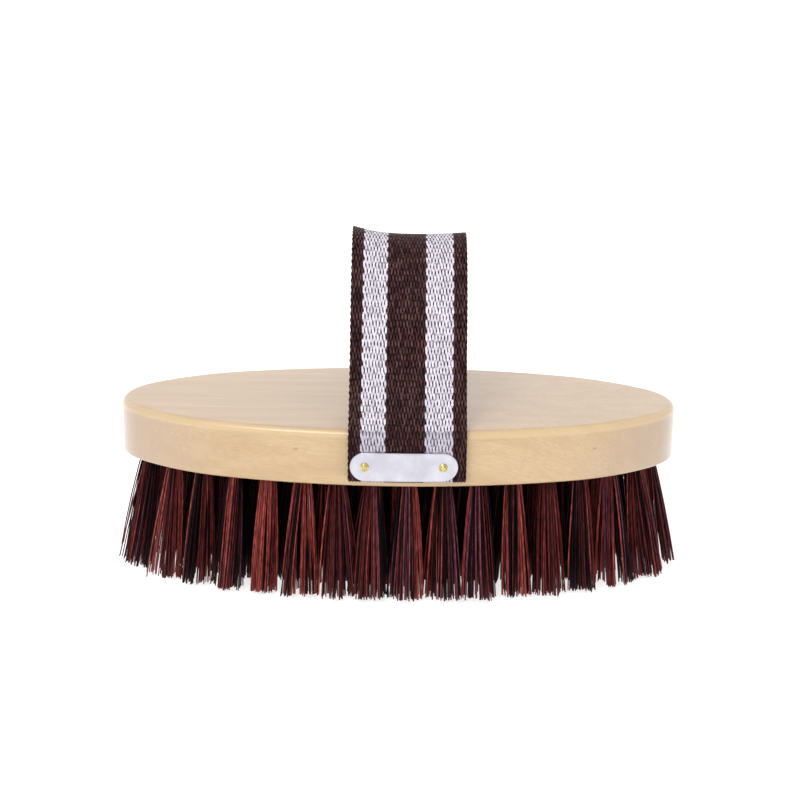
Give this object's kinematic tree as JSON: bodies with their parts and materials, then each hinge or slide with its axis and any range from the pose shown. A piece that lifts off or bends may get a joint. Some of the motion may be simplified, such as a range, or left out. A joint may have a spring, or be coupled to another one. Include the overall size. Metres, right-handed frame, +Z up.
{
  "type": "body brush with hand strap",
  "caption": "Oval wooden body brush with fanned bristle tufts below and an arched webbing hand strap that metal plates pin to its long sides.",
  "frame": {"origin": "middle of the bristle tips, at the bottom centre of the brush", "axes": "+X along the long side of the back, +Y across it and away from the side with the front plate, +Z up through the hand strap"},
  "size_m": [0.2046, 0.0986, 0.121],
  "materials": {
    "light_wood": "clear satin lacquer",
    "striped_webbing": "dark brown woven synthetic webbing with two light grey stripes",
    "aluminium_plate": "satin, lightly scratched",
    "brass_pin": "polished domed head",
    "bristle": "mixed red-brown, maroon and near-black fibres with a soft sheen",
    "anchor_wire": "bright drawn wire"
  },
  "bodies": {
    "root": {"wood_back": "light_wood", "hand_strap": "striped_webbing", "front_plate": "aluminium_plate", "rear_plate": "aluminium_plate", "front_left_pin": "brass_pin", "front_right_pin": "brass_pin", "rear_left_pin": "brass_pin", "rear_right_pin": "brass_pin", "outer_front_tufts": "bristle", "outer_right_tufts": "bristle", "outer_rear_tufts": "bristle", "outer_left_tufts": "bristle", "middle_front_tufts": "bristle", "middle_right_tufts": "bristle", "middle_rear_tufts": "bristle", "middle_left_tufts": "bristle", "inner_front_tufts": "bristle", "inner_right_tufts": "bristle", "inner_rear_tufts": "bristle", "inner_left_tufts": "bristle", "centre_tufts": "bristle", "outer_anchors": "anchor_wire", "middle_anchors": "anchor_wire", "inner_anchors": "anchor_wire", "centre_anchors": "anchor_wire"}
  },
  "joints": []
}
